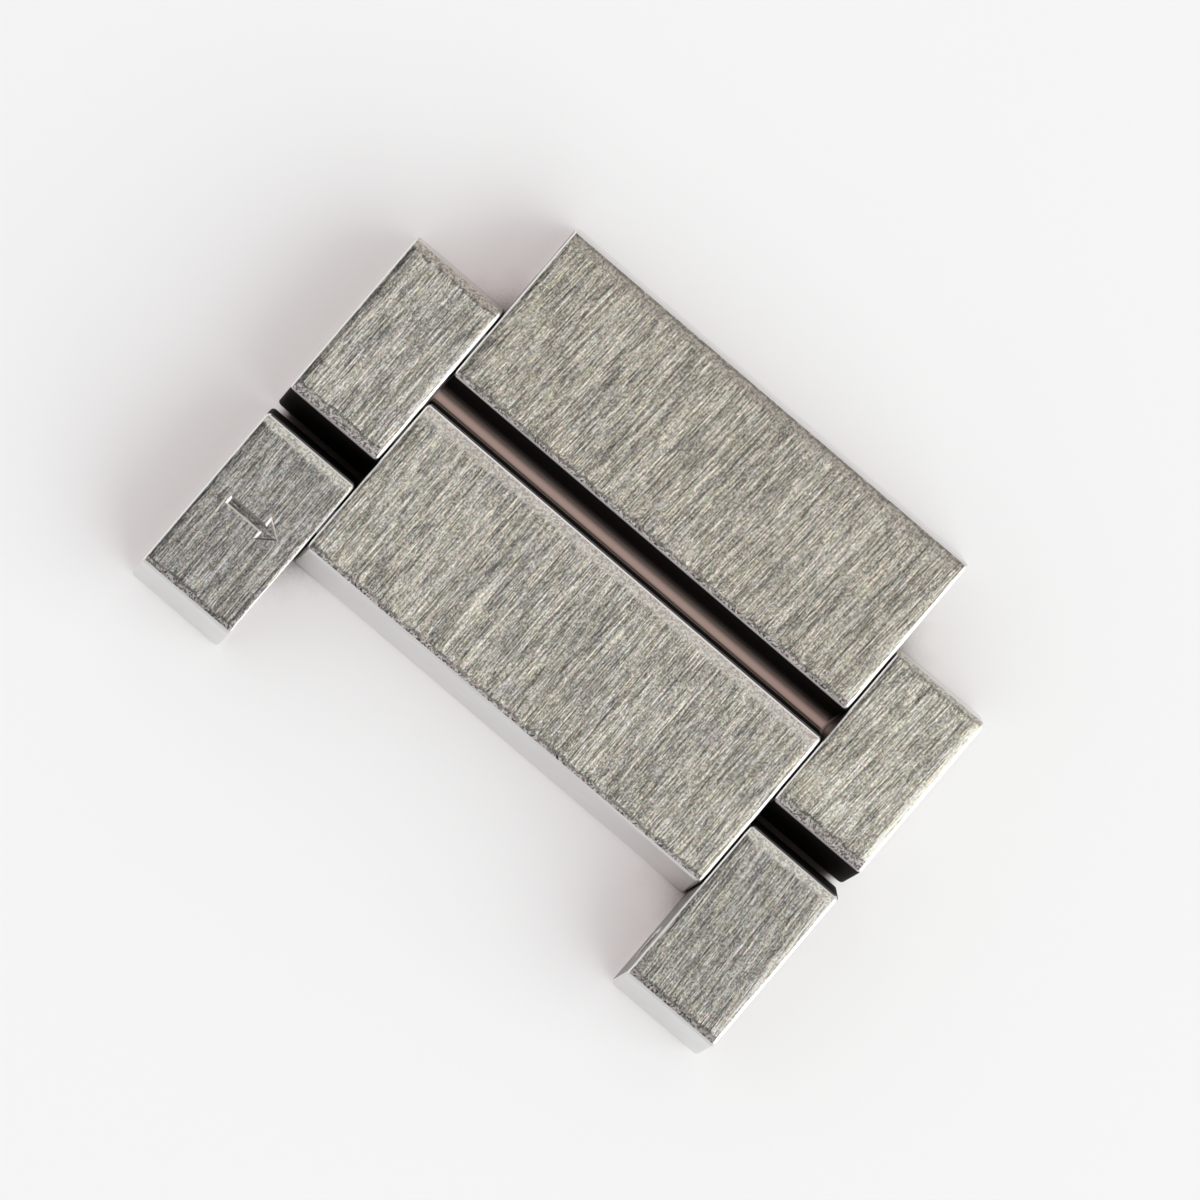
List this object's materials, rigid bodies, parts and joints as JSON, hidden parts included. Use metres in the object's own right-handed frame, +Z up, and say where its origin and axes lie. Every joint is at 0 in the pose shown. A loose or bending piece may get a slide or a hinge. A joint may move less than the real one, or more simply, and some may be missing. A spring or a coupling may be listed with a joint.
{
  "type": "watch bracelet link",
  "caption": "Section of a solid steel watch bracelet: staggered wide centre links and narrow outer links, hinged on friction pins, with open pin bores at both ends.",
  "frame": {"origin": "middle of the section, on the show side that it lies on", "axes": "+X across the bracelet to the right, +Y along it towards the front centre link's free end, +Z up through the inner (wrist) side"},
  "size_m": [0.02, 0.0149, 0.0032],
  "materials": {
    "link_steel": "brushed faces, polished ends and bevels",
    "pin_steel": "bright ground"
  },
  "bodies": {
    "rear_centre": {"centre_link_rear": "link_steel"},
    "front_pair": {"outer_link_front_left": "link_steel", "outer_link_front_right": "link_steel", "pin_front": "pin_steel", "pin_middle": "pin_steel"},
    "front_centre": {"centre_link_front": "link_steel"},
    "rear_pair": {"outer_link_rear_left": "link_steel", "outer_link_rear_right": "link_steel", "pin_rear": "pin_steel"}
  },
  "joints": [
    {"name": "middle_hinge", "type": "hinge", "parent": "rear_centre", "child": "front_pair", "pos_m": [0, 0, 0.0016], "axis": [1, 0, 0], "range_deg": [-2, 14]},
    {"name": "front_hinge", "type": "hinge", "parent": "front_pair", "child": "front_centre", "pos_m": [0, 0.00302, 0.0016], "axis": [1, 0, 0], "range_deg": [-2, 14]},
    {"name": "rear_hinge", "type": "hinge", "parent": "rear_centre", "child": "rear_pair", "pos_m": [0, -0.00302, 0.0016], "axis": [-1, 0, 0], "range_deg": [-2, 14]}
  ]
}
